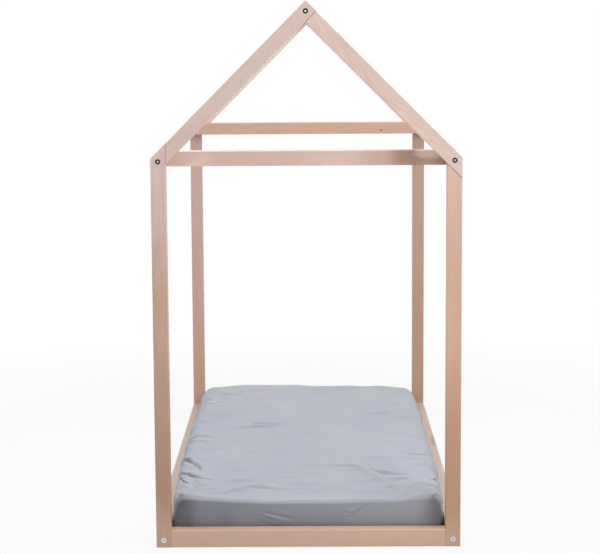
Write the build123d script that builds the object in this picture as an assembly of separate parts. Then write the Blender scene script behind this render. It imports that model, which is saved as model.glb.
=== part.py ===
"""House frame bed for a 700 x 1400 mm mattress: bolted beech gables, ridge, rails, slatted base.

Frame: millimetres, +Z up, floor at Z = 0, origin under the middle of the bed.
X runs across the bed, Y runs along it, and the front (foot) gable faces -Y.
"""
from build123d import *
import os
from math import cos, radians, sin, tan

# ---- timber frame -----------------------------------------------------------------------
SECTION = 38.0  # square bar used for posts, rafters, tie beams and rail depth
EDGE_RADIUS = 2.0  # easing along every long edge
INNER_WIDTH = 710.0  # clear width between the two side rails
INNER_LENGTH = 1410.0  # clear length between the two end rails
EAVE_HEIGHT = 1008.0  # floor to the outer corner where roof slope and post meet
ROOF_PITCH = 45.0  # degrees
END_RAIL_HEIGHT = 45.0
SIDE_RAIL_HEIGHT = 63.0
TIE_BEAM_DROP = 3.5  # eave corner down to the middle of the tie beam
LAP_GAP = 0.8  # between a half-lap's shoulder and the bar that passes it

# ---- slatted base -----------------------------------------------------------------------
LEDGER_WIDTH = 18.0
LEDGER_HEIGHT = 15.0
LEDGER_LIFT = 3.0  # ledger kept off the floor
LEDGER_END_GAP = 4.0
LEDGER_EDGE_RADIUS = 1.0
SLAT_COUNT = 14
SLAT_WIDTH = 55.0
SLAT_THICKNESS = 12.0
SLAT_EDGE_RADIUS = 2.5
SLAT_END_GAP = 2.0  # between a slat's end and the side rail
STRAP_WIDTH = 20.0
STRAP_THICKNESS = 1.2
STRAP_OFFSET = 215.0  # middle of the bed to the middle of a strap
STAPLE_CROWN = 10.0
STAPLE_WIRE = 1.2
STAPLE_BITE = 7.0  # depth of a staple's legs in the slat

# ---- mattress and bedding ---------------------------------------------------------------
MATTRESS_GAP = 5.0  # to each rail
MATTRESS_LIFT = 0.3  # soft clearance over the slats
MATTRESS_THICKNESS = 100.0
MATTRESS_CORNER_RADIUS = 48.0  # seen from above
MATTRESS_TOP_RADIUS = 32.0
MATTRESS_BOTTOM_RADIUS = 10.0
COVER_THICKNESS = 1.2
SHEET_THICKNESS = 0.8
HEM_WIDTH = 70.0  # fitted sheet turned in under the mattress
ELASTIC_WIDTH = 6.0

# ---- fasteners --------------------------------------------------------------------------
BOLT_DIAMETER = 6.0
BOLT_CLEARANCE = 0.5  # on the diameter of a bolt's hole
ROOF_HEAD_DIAMETER = 13.0  # bolts at ridge and eaves
FOOT_HEAD_DIAMETER = 15.0  # bolts at the feet of the posts
HEAD_THICKNESS = 2.5
HEAD_EDGE = 0.7
HEAD_RECESS = 0.2  # head below the face of the timber
HEAD_CLEARANCE = 0.6  # on the diameter of a counterbore
SOCKET_SIZE = 4.0  # hexagon across flats
SOCKET_DEPTH = 1.8
BARREL_DIAMETER = 10.0
BARREL_LENGTH = 16.0
BARREL_INSET = 30.0  # joint face to the middle of a barrel nut
BARREL_CLEARANCE = 0.4  # on the diameter of a barrel nut's bore
BOLT_PAST_BARREL = 4.0  # thread beyond a barrel nut
INSERT_DIAMETER = 10.0
INSERT_LENGTH = 15.0
INSERT_SLACK = 2.0  # bolt tip short of the insert's end
END_BOLT_DROP = 12.0  # top of the end rail down to its bolt
BOLT_TIP_SPACE = 1.0
DOWEL_DIAMETER = 8.0
DOWEL_LENGTH = 38.0
DOWEL_IN_FRAME = 13.0  # part of a dowel that sits in the gable
DOWEL_END_SPACE = 1.0
DOWEL_CHAMFER = 1.0
RIDGE_DOWEL_DIAMETER = 6.0
RIDGE_DOWEL_OFFSET = 14.0  # above and below the ridge bolt
SIDE_DOWEL_DROP = 14.0  # top of the side rail down to its dowel
END_DOWEL_HEIGHT = 9.0  # floor to the dowel of the end rail
TIE_DOWEL_INSET = 8.0  # inward from the post's inner face
LEDGER_SCREW_LENGTH = 34.0
LEDGER_SCREW_COUNT = 6  # to each ledger
LEDGER_SCREW_INSET = 150.0  # ledger's end to its first screw
SLAT_SCREW_LENGTH = 22.0
SCREW_DIAMETER = 4.0
SCREW_HEAD_DIAMETER = 7.6
SCREW_HEAD_HEIGHT = 2.4
SCREW_TIP = 4.0
RECESS_WIDTH = 0.9
RECESS_SPAN = 4.2
RECESS_DEPTH = 1.4

# ---- sizes that follow ------------------------------------------------------------------
PITCH = radians(ROOF_PITCH)
INNER_X = INNER_WIDTH / 2
OUTER_X = INNER_X + SECTION
POST_X = INNER_X + SECTION / 2
INNER_Y = INNER_LENGTH / 2
OUTER_Y = INNER_Y + SECTION
GABLE_Y = INNER_Y + SECTION / 2
APEX_HEIGHT = EAVE_HEIGHT + OUTER_X * tan(PITCH)
INNER_APEX_HEIGHT = APEX_HEIGHT - SECTION / cos(PITCH)
LAP_HALF_WIDTH = SECTION / (2 * sin(PITCH))
LAP_GAP_X = LAP_GAP / (2 * sin(PITCH))
LAP_GAP_Z = LAP_GAP / cos(PITCH)
RIDGE_HEIGHT = (APEX_HEIGHT + INNER_APEX_HEIGHT) / 2
TIE_BEAM_HEIGHT = EAVE_HEIGHT - TIE_BEAM_DROP
SLAT_BOTTOM = LEDGER_LIFT + LEDGER_HEIGHT
SLAT_TOP = SLAT_BOTTOM + SLAT_THICKNESS
SLAT_GAP = (INNER_LENGTH - SLAT_COUNT * SLAT_WIDTH) / (SLAT_COUNT + 1)
MATTRESS_BOTTOM = SLAT_TOP + MATTRESS_LIFT
BED_TURN = Rot(0, 0, 180)

ALONG_BED = (0, 1, 0)
SIDES = (-1, 1)


def roof_height(x):
    """Height of the roof slope above a point across the bed."""
    return APEX_HEIGHT - abs(x) * tan(PITCH)


def rafter_underside(x):
    return roof_height(x) - SECTION / cos(PITCH)


EAVE_BOLT_HEIGHT = (roof_height(POST_X) + rafter_underside(POST_X)) / 2
FOOT_BOLT_HEIGHT = SECTION / 2
END_BOLT_HEIGHT = END_RAIL_HEIGHT - END_BOLT_DROP
SIDE_DOWEL_HEIGHT = SIDE_RAIL_HEIGHT - SIDE_DOWEL_DROP


# ---- timber -----------------------------------------------------------------------------
def eased_bar(width, depth, length, radius=EDGE_RADIUS):
    """Planed bar along Z, centred on the origin, with its long edges rounded."""
    return Pos(0, 0, -length / 2) * extrude(RectangleRounded(width, depth, radius), length)


def bar_along_x(length, depth_y, height_z, radius=EDGE_RADIUS):
    return Rot(0, 90, 0) * eased_bar(height_z, depth_y, length, radius)


def bar_along_y(length, width_x, height_z, radius=EDGE_RADIUS):
    return Rot(90, 0, 0) * eased_bar(width_x, height_z, length, radius)


def gable_prism(outline, y_from, y_to):
    """Prism along Y over an outline of (x, z) points."""
    face = Polygon(*outline, align=None)
    return Pos(0, y_to, 0) * Rot(90, 0, 0) * extrude(face, y_to - y_from)


def lapped(bar, outer_outline, inner_outline):
    """Bar of the front gable with half-laps: one outline for each half of its thickness."""
    outer_half = gable_prism(outer_outline, -OUTER_Y, -GABLE_Y)
    inner_half = gable_prism(inner_outline, -GABLE_Y, -INNER_Y)
    return bar & (outer_half + inner_half)


def left_post():
    """Outer half runs up to the roof slope, inner half stops under the rafter."""
    foot = [(-OUTER_X, 0), (-INNER_X, 0)]
    outer = foot + [(-INNER_X, roof_height(INNER_X)), (-OUTER_X, EAVE_HEIGHT)]
    inner = foot + [
        (-INNER_X, rafter_underside(INNER_X) - LAP_GAP_Z),
        (-OUTER_X, rafter_underside(OUTER_X) - LAP_GAP_Z),
    ]
    length = roof_height(INNER_X)
    bar = Pos(-POST_X, -GABLE_Y, length / 2) * eased_bar(SECTION, SECTION, length)
    return lapped(bar, outer, inner)


def left_rafter():
    """Outer half passes over the other rafter at the ridge, inner half behind the post at the eave."""
    eave_x = INNER_X - LAP_GAP
    outer = [
        (-eave_x, rafter_underside(eave_x)),
        (0, INNER_APEX_HEIGHT),
        (LAP_HALF_WIDTH, roof_height(LAP_HALF_WIDTH)),
        (0, APEX_HEIGHT),
        (-eave_x, roof_height(eave_x)),
    ]
    top_x = LAP_HALF_WIDTH + LAP_GAP_X
    inner = [
        (-OUTER_X, rafter_underside(OUTER_X)),
        (-LAP_GAP_X, rafter_underside(LAP_GAP_X)),
        (-top_x, roof_height(top_x)),
        (-OUTER_X, EAVE_HEIGHT),
    ]
    run = OUTER_X / cos(PITCH) + 4 * SECTION
    middle_x = -OUTER_X / 2
    middle_z = (roof_height(middle_x) + rafter_underside(middle_x)) / 2
    bar = Rot(0, -ROOF_PITCH, 0) * bar_along_x(run, SECTION, SECTION)
    return lapped(Pos(middle_x, -GABLE_Y, middle_z) * bar, outer, inner)


def tie_beam():
    """Lies against the gable's inner face, its top corners cut to the roof slope."""
    bar = Pos(0, -INNER_Y + SECTION / 2, TIE_BEAM_HEIGHT) * bar_along_x(2 * OUTER_X, SECTION, SECTION)
    house = [(-OUTER_X, 0), (OUTER_X, 0), (OUTER_X, EAVE_HEIGHT), (0, APEX_HEIGHT), (-OUTER_X, EAVE_HEIGHT)]
    return bar & gable_prism(house, -INNER_Y, -INNER_Y + SECTION)


def end_rail():
    return Pos(0, -GABLE_Y, END_RAIL_HEIGHT / 2) * bar_along_x(INNER_WIDTH, SECTION, END_RAIL_HEIGHT)


def side_rail(side):
    bar = bar_along_y(INNER_LENGTH, SECTION, SIDE_RAIL_HEIGHT)
    return Pos(side * POST_X, 0, SIDE_RAIL_HEIGHT / 2) * bar


def ridge_beam():
    """Set on its edge, so that its faces run on from the rafters."""
    lap = [
        (0, INNER_APEX_HEIGHT),
        (LAP_HALF_WIDTH, roof_height(LAP_HALF_WIDTH)),
        (0, APEX_HEIGHT),
        (-LAP_HALF_WIDTH, roof_height(LAP_HALF_WIDTH)),
    ]
    section = Polygon(*lap, align=None)
    section = fillet(section.vertices(), EDGE_RADIUS)
    return Pos(0, INNER_Y, 0) * Rot(90, 0, 0) * extrude(section, INNER_LENGTH)


# ---- fasteners: each is made along +Z from its head or its first end ----------------------
def rod(diameter, length, start=0.0):
    return Pos(0, 0, start + length / 2) * Cylinder(diameter / 2, length)


def placed(shape, point, direction):
    """Shape moved so that its +Z points along the direction from the point."""
    return Plane(origin=point, z_dir=direction) * shape


def bolt(head_diameter, length):
    head = Cylinder(head_diameter / 2, HEAD_THICKNESS)
    head = fillet(head.edges().filter_by(GeomType.CIRCLE).sort_by(Axis.Z)[0], HEAD_EDGE)
    head = Pos(0, 0, HEAD_RECESS + HEAD_THICKNESS / 2) * head
    socket_radius = SOCKET_SIZE / 2 / cos(radians(30))
    socket = Pos(0, 0, HEAD_RECESS) * extrude(RegularPolygon(socket_radius, 6), SOCKET_DEPTH)
    return head + rod(BOLT_DIAMETER, length - HEAD_RECESS, HEAD_RECESS) - socket


def bolt_hole(head_diameter, length):
    counterbore = rod(head_diameter + HEAD_CLEARANCE, HEAD_RECESS + HEAD_THICKNESS)
    return counterbore + rod(BOLT_DIAMETER + BOLT_CLEARANCE, length + BOLT_TIP_SPACE)


def barrel_nut():
    """Cross nut centred on the bolt's line, the bolt passing through it along Y."""
    body = Cylinder(BARREL_DIAMETER / 2, BARREL_LENGTH)
    return body - Rot(90, 0, 0) * Cylinder(BOLT_DIAMETER / 2, 2 * BARREL_DIAMETER)


def barrel_bore(reach):
    """Blind bore from behind the nut out to the reach along +Z."""
    start = -BARREL_LENGTH / 2
    return rod(BARREL_DIAMETER + BARREL_CLEARANCE, reach - start, start)


def threaded_insert():
    return rod(INSERT_DIAMETER, INSERT_LENGTH) - rod(BOLT_DIAMETER, INSERT_LENGTH)


def dowel(diameter):
    pin = rod(diameter, DOWEL_LENGTH)
    return chamfer(pin.edges().filter_by(GeomType.CIRCLE), DOWEL_CHAMFER)


def dowel_hole(diameter):
    return rod(diameter, DOWEL_LENGTH + 2 * DOWEL_END_SPACE, -DOWEL_END_SPACE)


def screw_body(length):
    """Countersunk wood screw without its drive recess, which is also the shape of its hole."""
    profile = [
        (0, 0),
        (SCREW_HEAD_DIAMETER / 2, 0),
        (SCREW_DIAMETER / 2, SCREW_HEAD_HEIGHT),
        (SCREW_DIAMETER / 2, length - SCREW_TIP),
        (0, length),
    ]
    return revolve(Plane.XZ * Polygon(*profile, align=None), Axis.Z)


def screw(length):
    slot = Box(RECESS_SPAN, RECESS_WIDTH, 2 * RECESS_DEPTH)
    return screw_body(length) - slot - Rot(0, 0, 90) * slot


def staple():
    """Crown under the strap, two legs up through it into the slat."""
    leg_height = STRAP_THICKNESS + STAPLE_BITE
    leg_x = (STAPLE_CROWN - STAPLE_WIRE) / 2
    crown = Box(STAPLE_CROWN, STAPLE_WIRE, STAPLE_WIRE)
    legs = [
        Pos(side * leg_x, 0, (STAPLE_WIRE + leg_height) / 2) * Box(STAPLE_WIRE, STAPLE_WIRE, leg_height)
        for side in SIDES
    ]
    return crown + legs


# ---- where the fasteners of the front end go: (point, direction) ---------------------------
BOLT_TO_BARREL = SECTION + BARREL_INSET + BARREL_DIAMETER / 2 + BOLT_PAST_BARREL
BOLT_TO_INSERT = SECTION + INSERT_LENGTH - INSERT_SLACK

ridge_bolt_sites = [((0, -OUTER_Y, RIDGE_HEIGHT), ALONG_BED)]
eave_bolt_sites = [((s * POST_X, -OUTER_Y, EAVE_BOLT_HEIGHT), ALONG_BED) for s in SIDES]
foot_bolt_sites = [((s * POST_X, -OUTER_Y, FOOT_BOLT_HEIGHT), ALONG_BED) for s in SIDES]
end_bolt_sites = [((s * OUTER_X, -GABLE_Y, END_BOLT_HEIGHT), (-s, 0, 0)) for s in SIDES]

insert_sites = [((s * POST_X, -INNER_Y, EAVE_BOLT_HEIGHT), ALONG_BED) for s in SIDES]
ridge_dowel_sites = [
    ((0, -INNER_Y - DOWEL_IN_FRAME, RIDGE_HEIGHT + s * RIDGE_DOWEL_OFFSET), ALONG_BED) for s in SIDES
]
tie_dowel_x = INNER_X - TIE_DOWEL_INSET
tie_dowel_z = (rafter_underside(tie_dowel_x) + TIE_BEAM_HEIGHT + SECTION / 2) / 2
tie_dowel_sites = [((s * tie_dowel_x, -INNER_Y - DOWEL_IN_FRAME, tie_dowel_z), ALONG_BED) for s in SIDES]
side_dowel_sites = [
    ((s * POST_X, -INNER_Y - DOWEL_IN_FRAME, SIDE_DOWEL_HEIGHT), ALONG_BED) for s in SIDES
]
end_dowel_sites = [
    ((s * (INNER_X + DOWEL_IN_FRAME), -GABLE_Y, END_DOWEL_HEIGHT), (-s, 0, 0)) for s in SIDES
]

barrel_y = -INNER_Y + BARREL_INSET
ridge_barrel = Pos(0, barrel_y, RIDGE_HEIGHT) * Rot(0, 180 + ROOF_PITCH, 0)
side_barrels = [Pos(s * POST_X, barrel_y, FOOT_BOLT_HEIGHT) * Rot(0, -90 * s, 0) for s in SIDES]
end_barrels = [
    Pos(s * (INNER_X - BARREL_INSET), -GABLE_Y, END_BOLT_HEIGHT) * Rot(0, 0, 90) * Rot(0, 90, 0)
    for s in SIDES
]


def at_sites(shape, sites):
    return [placed(shape, point, direction) for point, direction in sites]


front_holes = (
    at_sites(bolt_hole(ROOF_HEAD_DIAMETER, BOLT_TO_BARREL), ridge_bolt_sites)
    + at_sites(bolt_hole(ROOF_HEAD_DIAMETER, BOLT_TO_INSERT), eave_bolt_sites)
    + at_sites(bolt_hole(FOOT_HEAD_DIAMETER, BOLT_TO_BARREL), foot_bolt_sites + end_bolt_sites)
    + at_sites(rod(INSERT_DIAMETER, INSERT_LENGTH), insert_sites)
    + at_sites(dowel_hole(RIDGE_DOWEL_DIAMETER), ridge_dowel_sites)
    + at_sites(dowel_hole(DOWEL_DIAMETER), tie_dowel_sites + side_dowel_sites + end_dowel_sites)
    + [place * barrel_bore(SECTION) for place in [ridge_barrel] + side_barrels + end_barrels]
)


def drilled(timber, holes):
    """Timber less the holes that reach it."""
    box = timber.bounding_box()
    for hole in holes:
        if box.overlaps(hole.bounding_box()):
            timber = timber - hole
    return timber


# ---- slatted base -------------------------------------------------------------------------
def ledger(side):
    length = INNER_LENGTH - 2 * LEDGER_END_GAP
    bar = bar_along_y(length, LEDGER_WIDTH, LEDGER_HEIGHT, LEDGER_EDGE_RADIUS)
    return Pos(side * (INNER_X - LEDGER_WIDTH / 2), 0, LEDGER_LIFT + LEDGER_HEIGHT / 2) * bar


def slat_y(index):
    return -INNER_Y + SLAT_GAP + SLAT_WIDTH / 2 + index * (SLAT_WIDTH + SLAT_GAP)


def slat(index):
    length = INNER_WIDTH - 2 * SLAT_END_GAP
    bar = bar_along_x(length, SLAT_WIDTH, SLAT_THICKNESS, SLAT_EDGE_RADIUS)
    return Pos(0, slat_y(index), (SLAT_BOTTOM + SLAT_TOP) / 2) * bar


def strap(side):
    length = slat_y(SLAT_COUNT - 1) - slat_y(0) + SLAT_WIDTH
    band = Box(STRAP_WIDTH, length, STRAP_THICKNESS)
    return Pos(side * STRAP_OFFSET, 0, SLAT_BOTTOM - STRAP_THICKNESS / 2) * band


staple_height = SLAT_BOTTOM - STRAP_THICKNESS - STAPLE_WIRE / 2
slat_staples = [
    [Pos(side * STRAP_OFFSET, slat_y(index), staple_height) * staple() for side in SIDES]
    for index in range(SLAT_COUNT)
]

first_screw_y = -INNER_Y + LEDGER_END_GAP + LEDGER_SCREW_INSET
screw_spacing = -2 * first_screw_y / (LEDGER_SCREW_COUNT - 1)
screw_height = SLAT_BOTTOM - LEDGER_HEIGHT / 2
ledger_screw_sites = [
    ((s * (INNER_X - LEDGER_WIDTH), first_screw_y + n * screw_spacing, screw_height), (s, 0, 0))
    for s in SIDES
    for n in range(LEDGER_SCREW_COUNT)
]
slat_screw_sites = [
    ((s * (INNER_X - LEDGER_WIDTH / 2), slat_y(index), SLAT_TOP), (0, 0, -1))
    for s in SIDES
    for index in (0, SLAT_COUNT - 1)
]
ledger_screw_holes = at_sites(screw_body(LEDGER_SCREW_LENGTH), ledger_screw_sites)
slat_screw_holes = at_sites(screw_body(SLAT_SCREW_LENGTH), slat_screw_sites)


# ---- mattress and bedding -----------------------------------------------------------------
def bedding_plan(inset, corner_radius):
    """Outline of the mattress seen from above, drawn in by the inset."""
    width = INNER_WIDTH - 2 * (MATTRESS_GAP + inset)
    length = INNER_LENGTH - 2 * (MATTRESS_GAP + inset)
    return RectangleRounded(width, length, corner_radius)


def soft_block(inset):
    """Mattress outline with rolled edges, drawn in by the inset on every side."""
    block = extrude(bedding_plan(inset, MATTRESS_CORNER_RADIUS - inset), MATTRESS_THICKNESS - 2 * inset)
    block = fillet(block.edges().group_by(Axis.Z)[-1], MATTRESS_TOP_RADIUS - inset)
    block = fillet(block.edges().group_by(Axis.Z)[0], MATTRESS_BOTTOM_RADIUS - inset)
    return Pos(0, 0, MATTRESS_BOTTOM + inset) * block


def hem_layer(inset):
    """Slice of the sheet's underside inside the hem, drawn in further by the inset."""
    return Pos(0, 0, MATTRESS_BOTTOM) * extrude(
        bedding_plan(HEM_WIDTH + inset, MATTRESS_CORNER_RADIUS), SHEET_THICKNESS
    )


# ---- the pieces ---------------------------------------------------------------------------
GABLE_TURN = Pos(0, -2 * GABLE_Y, 0) * BED_TURN  # half a turn about the front gable's middle
front_timbers = {
    "left_post": left_post(),
    "right_post": GABLE_TURN * left_post(),
    "left_rafter": left_rafter(),
    "right_rafter": GABLE_TURN * left_rafter(),
    "tie_beam": tie_beam(),
    "end_rail": end_rail(),
}
seen_from_behind = {
    "left_post": "right_post",
    "right_post": "left_post",
    "left_rafter": "right_rafter",
    "right_rafter": "left_rafter",
}


def both_ends(shapes):
    """Fasteners of the front end and the same ones of the rear end, as one group."""
    return Compound(children=shapes + [BED_TURN * shape for shape in shapes])


nodes = {}
for name, timber in front_timbers.items():
    timber = drilled(timber, front_holes)
    nodes[f"front_{name}"] = timber
    nodes[f"rear_{seen_from_behind.get(name, name)}"] = BED_TURN * timber

all_holes = front_holes + [BED_TURN * hole for hole in front_holes]
nodes["ridge_beam"] = drilled(ridge_beam(), all_holes)
for side, label in zip(SIDES, ("left", "right")):
    nodes[f"{label}_side_rail"] = drilled(side_rail(side), all_holes + ledger_screw_holes)
    nodes[f"{label}_slat_ledger"] = drilled(ledger(side), ledger_screw_holes + slat_screw_holes)

for index, staples in enumerate(slat_staples):
    nodes[f"slat_{index + 1:02d}"] = drilled(slat(index), slat_screw_holes + staples)
all_staples = [one for staples in slat_staples for one in staples]
for side, label in zip(SIDES, ("left", "right")):
    nodes[f"{label}_slat_strap"] = drilled(strap(side), all_staples)

nodes["ridge_bolts"] = both_ends(at_sites(bolt(ROOF_HEAD_DIAMETER, BOLT_TO_BARREL), ridge_bolt_sites))
nodes["eave_bolts"] = both_ends(at_sites(bolt(ROOF_HEAD_DIAMETER, BOLT_TO_INSERT), eave_bolt_sites))
nodes["side_rail_bolts"] = both_ends(at_sites(bolt(FOOT_HEAD_DIAMETER, BOLT_TO_BARREL), foot_bolt_sites))
nodes["end_rail_bolts"] = both_ends(at_sites(bolt(FOOT_HEAD_DIAMETER, BOLT_TO_BARREL), end_bolt_sites))
nodes["ridge_barrel_nuts"] = both_ends([ridge_barrel * barrel_nut()])
nodes["side_rail_barrel_nuts"] = both_ends([place * barrel_nut() for place in side_barrels])
nodes["end_rail_barrel_nuts"] = both_ends([place * barrel_nut() for place in end_barrels])
nodes["tie_beam_inserts"] = both_ends(at_sites(threaded_insert(), insert_sites))
nodes["ridge_dowels"] = both_ends(at_sites(dowel(RIDGE_DOWEL_DIAMETER), ridge_dowel_sites))
nodes["tie_beam_dowels"] = both_ends(at_sites(dowel(DOWEL_DIAMETER), tie_dowel_sites))
nodes["side_rail_dowels"] = both_ends(at_sites(dowel(DOWEL_DIAMETER), side_dowel_sites))
nodes["end_rail_dowels"] = both_ends(at_sites(dowel(DOWEL_DIAMETER), end_dowel_sites))
nodes["ledger_screws"] = Compound(children=at_sites(screw(LEDGER_SCREW_LENGTH), ledger_screw_sites))
nodes["slat_screws"] = Compound(children=at_sites(screw(SLAT_SCREW_LENGTH), slat_screw_sites))
nodes["strap_staples"] = Compound(children=all_staples)

nodes["mattress_core"] = soft_block(SHEET_THICKNESS + COVER_THICKNESS)
nodes["mattress_cover"] = soft_block(SHEET_THICKNESS) - soft_block(SHEET_THICKNESS + COVER_THICKNESS)
nodes["fitted_sheet"] = soft_block(0) - soft_block(SHEET_THICKNESS) - hem_layer(0)
nodes["sheet_elastic"] = hem_layer(0) - hem_layer(ELASTIC_WIDTH)

os.makedirs("parts", exist_ok=True)
for name, shape in nodes.items():
    export_step(shape, f"parts/{name}.step")
print(len(nodes), "nodes")
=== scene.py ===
"""House frame bed: finishes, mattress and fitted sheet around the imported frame. Metres, +Z up."""

import math
import random

import bpy
import numpy as np
from mathutils import Matrix, Vector


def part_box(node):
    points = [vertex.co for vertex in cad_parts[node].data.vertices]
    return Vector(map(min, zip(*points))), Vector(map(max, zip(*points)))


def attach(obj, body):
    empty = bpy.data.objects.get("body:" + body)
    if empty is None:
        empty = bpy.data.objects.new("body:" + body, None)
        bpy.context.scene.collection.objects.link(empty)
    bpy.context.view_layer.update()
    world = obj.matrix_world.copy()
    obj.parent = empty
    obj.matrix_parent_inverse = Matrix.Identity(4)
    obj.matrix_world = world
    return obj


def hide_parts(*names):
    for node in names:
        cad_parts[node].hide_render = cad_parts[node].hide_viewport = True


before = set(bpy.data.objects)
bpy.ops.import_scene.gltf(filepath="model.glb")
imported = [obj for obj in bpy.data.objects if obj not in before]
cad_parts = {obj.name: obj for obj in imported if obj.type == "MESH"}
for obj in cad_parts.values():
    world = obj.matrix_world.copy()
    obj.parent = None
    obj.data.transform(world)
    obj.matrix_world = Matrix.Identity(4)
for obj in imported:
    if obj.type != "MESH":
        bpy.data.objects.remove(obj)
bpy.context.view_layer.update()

# ---- beech timbers of the gables and the bed box --------------------------------------------
# Planed beech under one thin coat of satin varnish, each bar sawn from its own board. Some tones
# are painted light: the posts are painted paler towards their tops, the rafters partly paler for
# the light from above, and the front tie beam is painted paler at its left end, with painted
# shadow near its right end and a painted highlight above it. The rear tie beam has a small knot,
# and the right side rail a little grey bark along its outer edge.


class Wire:
    """One output of a shader node. Arithmetic on wires and numbers adds Math nodes."""

    def __init__(self, tree, socket=None):
        self.tree = tree
        self.socket = socket

    def node(self, kind, settings=None, inputs=None, output=0):
        """New node: its settings are set first, then its sockets take values or wires."""
        made = self.tree.nodes.new(kind)
        for name, value in (settings or {}).items():
            setattr(made, name, value)
        for key, value in (inputs or {}).items():
            if isinstance(value, Wire):
                self.tree.links.new(value.socket, made.inputs[key])
            else:
                made.inputs[key].default_value = value
        return Wire(self.tree, made.outputs[output])

    def math(self, operation, *values):
        settings = {"operation": operation}
        return self.node("ShaderNodeMath", settings, dict(enumerate(values)))

    def __add__(self, other):
        return self.math("ADD", self, other)

    def __sub__(self, other):
        return self.math("SUBTRACT", self, other)

    def __rsub__(self, other):
        return self.math("SUBTRACT", other, self)

    def __mul__(self, other):
        return self.math("MULTIPLY", self, other)

    def __abs__(self):
        return self.math("ABSOLUTE", self)

    __radd__ = __add__
    __rmul__ = __mul__

    def wave(self, length):
        """0 to 1 and back once in every length."""
        return self.math("SINE", self * (math.tau / length)) * 0.5 + 0.5

    def step(self, low, high):
        """0 below low, 1 above high, smooth between them."""
        settings = {"interpolation_type": "SMOOTHSTEP"}
        return self.node("ShaderNodeMapRange", settings, {0: self, 1: low, 2: high})

    def mix(self, first, second):
        """The first colour, and this share of the second one."""
        settings = {"data_type": "RGBA"}
        return self.node("ShaderNodeMix", settings, {0: self, 6: first, 7: second}, 2)

    def dimmed(self, share):
        """This colour times a number."""
        settings = {"operation": "SCALE"}
        return self.node("ShaderNodeVectorMath", settings, {0: self, "Scale": share})

    def along(self, axis):
        """This vector measured along an axis."""
        settings = {"operation": "DOT_PRODUCT"}
        return self.node("ShaderNodeVectorMath", settings, {0: self, 1: axis}, "Value")

    def place(self):
        """The point on the piece, as it lies in the bed."""
        return self.node("ShaderNodeTexCoord", output="Object")

    def facing(self):
        """Which way the surface faces."""
        return self.node("ShaderNodeTexCoord", output="Normal")

    def faces(self, axis, low=0.55, high=0.8):
        """1 where the surface faces along an axis, either way, and 0 where it faces aside."""
        return abs(self.facing().along(axis)).step(low, high)

    def join(self, x, y, z):
        return self.node("ShaderNodeCombineXYZ", None, {0: x, 1: y, 2: z})

    def cloud(self, x, y, z, detail=2.0):
        """Noise whose patches are about one unit across in each of the three values."""
        inputs = {"Vector": self.join(x, y, z), "Scale": 1.0, "Detail": detail}
        return self.node("ShaderNodeTexNoise", None, inputs)


def new_finish(name):
    material = bpy.data.materials.new(name)
    material.use_nodes = True
    return material, Wire(material.node_tree)


def coat(material, colour, roughness, relief=None, depth=0.0, **numbers):
    """Joins a finish to the shader: relief is a height from 0 to 1, depth its size in metres."""
    shader = material.node_tree.nodes["Principled BSDF"]
    links = material.node_tree.links
    links.new(colour.socket, shader.inputs["Base Color"])
    links.new(roughness.socket, shader.inputs["Roughness"])
    for name, number in numbers.items():
        shader.inputs[name.replace("_", " ")].default_value = number
    if relief is not None:
        inputs = {"Height": relief, "Distance": depth, "Strength": 1.0}
        links.new(relief.node("ShaderNodeBump", None, inputs).socket, shader.inputs["Normal"])
    return material


LATE_WOOD = (0.34, 0.17, 0.09, 1)
VARNISH = {"Specular_IOR_Level": 0.35, "Coat_Weight": 0.10, "Coat_Roughness": 0.35}
PITH_NEAR, PITH_FAR = 0.035, 0.085  # how far the tree's pith lies from the bar's middle
SWAY, WOBBLE = 0.05, 0.0016  # how far the pith wanders along the bar, and each growth ring
RING_SHARPNESS = 2.5  # late wood is the narrow part of a ring
SANDED_FROM, SANDED_TO = -0.003, -0.001  # a sanded corner begins, and is full, inside two faces
MARK_INSIDE, MARK_RAGGED = 0.35, 0.6  # of a mark's reach: where it is whole, and its rough rim
WOOD_RELIEF = 0.00022

# Patches per metre along the bar and across it, for each kind of figure in the wood.
SWAYS, WOBBLES, FIBRES = (1.6, 2), (9, 60), (16, 850)
BROAD_PATCHES, RAY_FLECKS, MARK_RIMS = (3, 22), (150, 1400), (60, 260)


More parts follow.
